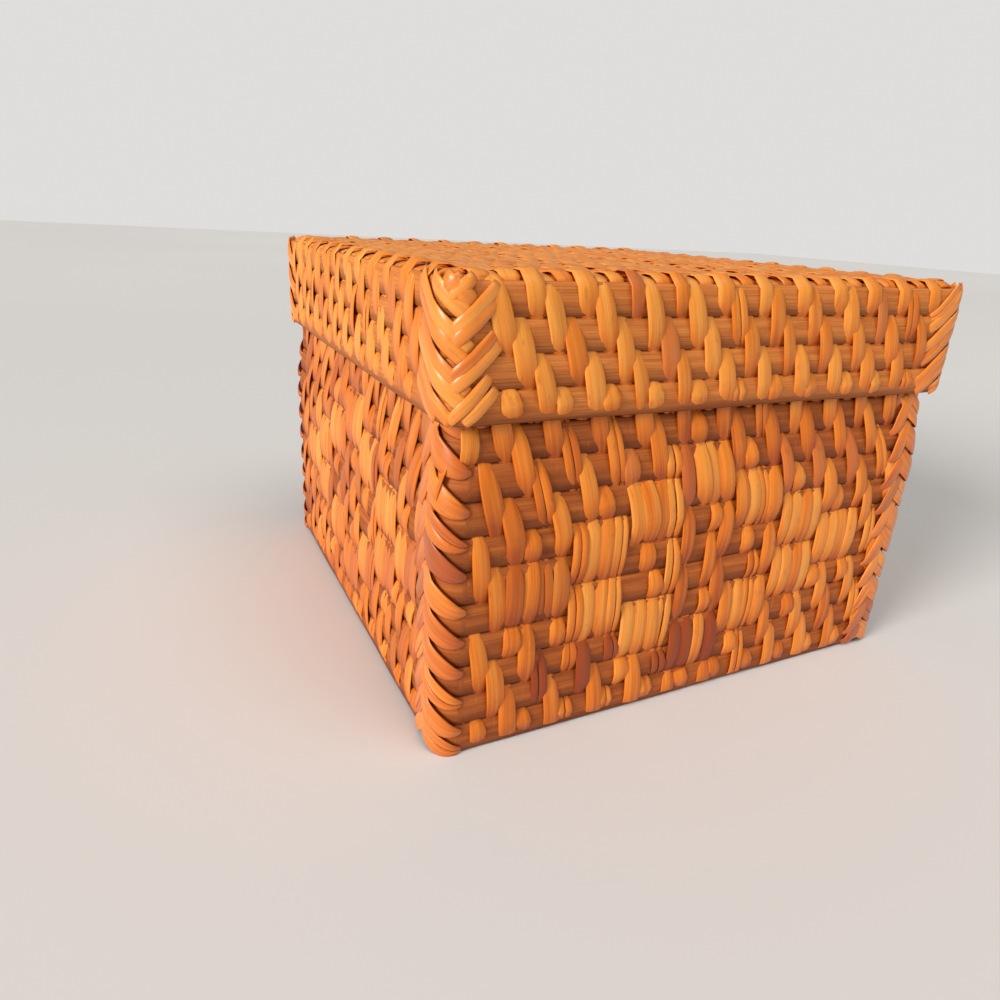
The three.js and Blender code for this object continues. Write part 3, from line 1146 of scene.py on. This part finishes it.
def band_material(name, colours):
    """Woody band with a fine grain along it, and painted shade that darkens its lower half."""
    n = Nodes(bpy.data.materials.new(name))
    parts = n.attribute("fibre")
    dye = n.attribute("dye")
    fine = n.noise(parts, 0.14 * MM, 14 * MM, 37.0, 5.0)
    broad = n.noise(parts, 1.3 * MM, 30 * MM, 19.0, 2.0)
    cross = n.noise(parts, 3 * MM, 0.5 * MM, 11.0, 3.0)
    colour = n.toned(dye[0], 0.4, broad, 0.25, colours)
    grain = n.stretch(fine, 0.28, 0.55, 0.55, 0.0)
    colour = n.mix(grain, colour, linear(GRAIN_COLOUR))
    specks = n.stretch(cross, 0.62, 0.72, 0.0, 0.2)
    colour = n.mix(specks, colour, linear(SPECK_COLOUR))
    # Painted shade: the lower half of a band, which faces down, turns darker.
    foot = n.stretch(parts[0], 0.2 * MM, -2.6 * MM, 0.0, 0.7)
    colour = n.mix(foot, colour, linear(CANE_SHADE_COLOUR))
    roughness = n.stretch(fine, 0.3, 0.7, 0.72, 0.52)
    return n.surface(colour, roughness, fine, 0.09 * MM)


def floor_material():
    """Pale, with a faint mottle."""
    n = Nodes(bpy.data.materials.new("floor"))
    mottle = n.add("TexNoise", {"Scale": 6.0}).outputs["Fac"]
    colour = n.ramp(mottle, (0.3, floor_dark), (0.7, floor_light))
    return n.surface(colour, 0.8, mottle, 0.0)


# Stage.

def camera():
    """Looks at the near corner of the box from above."""
    data = bpy.data.cameras.new("camera")
    data.lens = camera_lens
    data.clip_start = camera_clip
    view = add_to_scene("camera", data)
    forward = Vector((math.sin(camera_heading), math.cos(camera_heading), math.tan(camera_pitch)))
    turn = forward.to_track_quat("-Z", "Y").to_matrix() @ Matrix.Rotation(camera_roll, 3, "Z")
    view.matrix_world = Matrix.Translation(camera_place) @ turn.to_4x4()
    bpy.context.scene.camera = view


def floor():
    """A wide pale floor."""
    mesh = bpy.data.meshes.new("floor")
    corners = [(-1, -1), (1, -1), (1, 1), (-1, 1)]
    mesh.from_pydata([(x * floor_reach, y * floor_reach, 0) for x, y in corners], [], [range(4)])
    mesh.materials.append(floor_material())
    add_to_scene("floor", mesh)


def surroundings():
    """A world that gives soft light, and that is seen brighter than it lights."""
    world = bpy.data.worlds.new("studio")
    bpy.context.scene.world = world
    n = Nodes(world)
    path = n.add("LightPath", {}).outputs
    seen = n.math("MAXIMUM", path["Is Camera Ray"], path["Is Transmission Ray"])
    strength = n.stretch(seen, 0.0, 1.0, world_light, world_seen)
    background = n.add("Background", {"Color": world_colour, "Strength": strength})
    n.add("OutputWorld", {0: background.outputs[0]})


def lamp(name, direction, spread, strength, colour):
    """A distant soft lamp: direction points towards it, spread is the angle it seems to cover."""
    data = bpy.data.lights.new(name, "SUN")
    data.angle = math.radians(spread)
    data.energy = strength
    data.color = colour
    lit = add_to_scene(name, data)
    lit.location = direction
    lit.rotation_euler = (-Vector(direction)).to_track_quat("-Z", "Y").to_euler()


# The box on its stage.

camera()
floor()
surroundings()
bpy.context.scene.view_settings.view_transform = "Standard"
for name, setting in lamps.items():
    lamp(name, *setting)

straw = straw_material("straw", STRAW_COLOURS, straw_coat)
glossy = straw_material("glossy_straw", GLOSSY_COLOURS, glossy_coat)
cane = band_material("cane", CANE_COLOURS)

band_hoops("basket", basket_nodes, basket_half, basket_pitch, basket_band_tone, cane)
band_hoops("lid", lid_nodes, lid_half, lid_pitch, lid_band_tone, cane)
edge_middle = lid_top - lid_turn
edge_hoop = hoop("lid_edge_hoop", lid_half, edge_middle, edge_section(), lid_band_tone, cane)
place(edge_hoop, "lid", "bands")

rim_section = band_section(rim_height - rim_inset)
rim_hoop = hoop("rim_hoop", basket_half, rim_middle, rim_section, basket_band_tone, cane)
place(rim_hoop, "basket", "rim", "basket_rim")
place(rim_binding("rim_binding", glossy), "basket", "rim")

# The strands of each part: its middle surface, its walls, what the strands are like on them, and
# what the lengthwise and the crosswise ones stand for on the flat.
basket_path = (basket_half, basket_top + edge_above_rim, basket_bottom, basket_turn, basket_tone)
basket_plain = Wall(basket_lean, float_tilt)
basket_left = Wall(basket_left_lean, basket_left_tilt, left_fullness, left_relief)
basket_kind = (strand_count, basket_wall, basket_width)
lid_path = (lid_half, lid_base + lid_edge_gap, lid_top, lid_turn, lid_tone)
lid_plain = Wall(lid_lean, float_tilt)
lid_left = Wall(lid_left_lean, lid_left_tilt, left_fullness, left_relief)
lid_kind = (lid_strand_count, lid_wall, lid_width)
parts = [
    ("basket", basket_path, basket_plain, basket_left, basket_kind, ["basket_floor"], []),
    ("lid", lid_path, lid_plain, lid_left, lid_kind, ["lid_top_panel"], ["lid_top_strands"]),
]
for body, path, plain, left, kind, *flats in parts:
    ways = [("lengthwise", ("front", "back"), plain), ("crosswise", ("right", "left"), left)]
    for (way, sides, far), flat in zip(ways, flats):
        piece = strand_set(f"{body}_strands_{way}", Route(*path, plain, far), sides, *kind, straw)
        place(piece, body, "strands", *[f"{body}_strands_{side}" for side in sides], *flat)

for i, corner in enumerate(CORNERS):
    for body, lashing in (("basket", basket_lashing), ("lid", lid_lashing)):
        piece = lashing(f"{body}_herringbone_{corner}", i, glossy)
        place(piece, body, "lashings", f"{body}_lashing_{corner}")
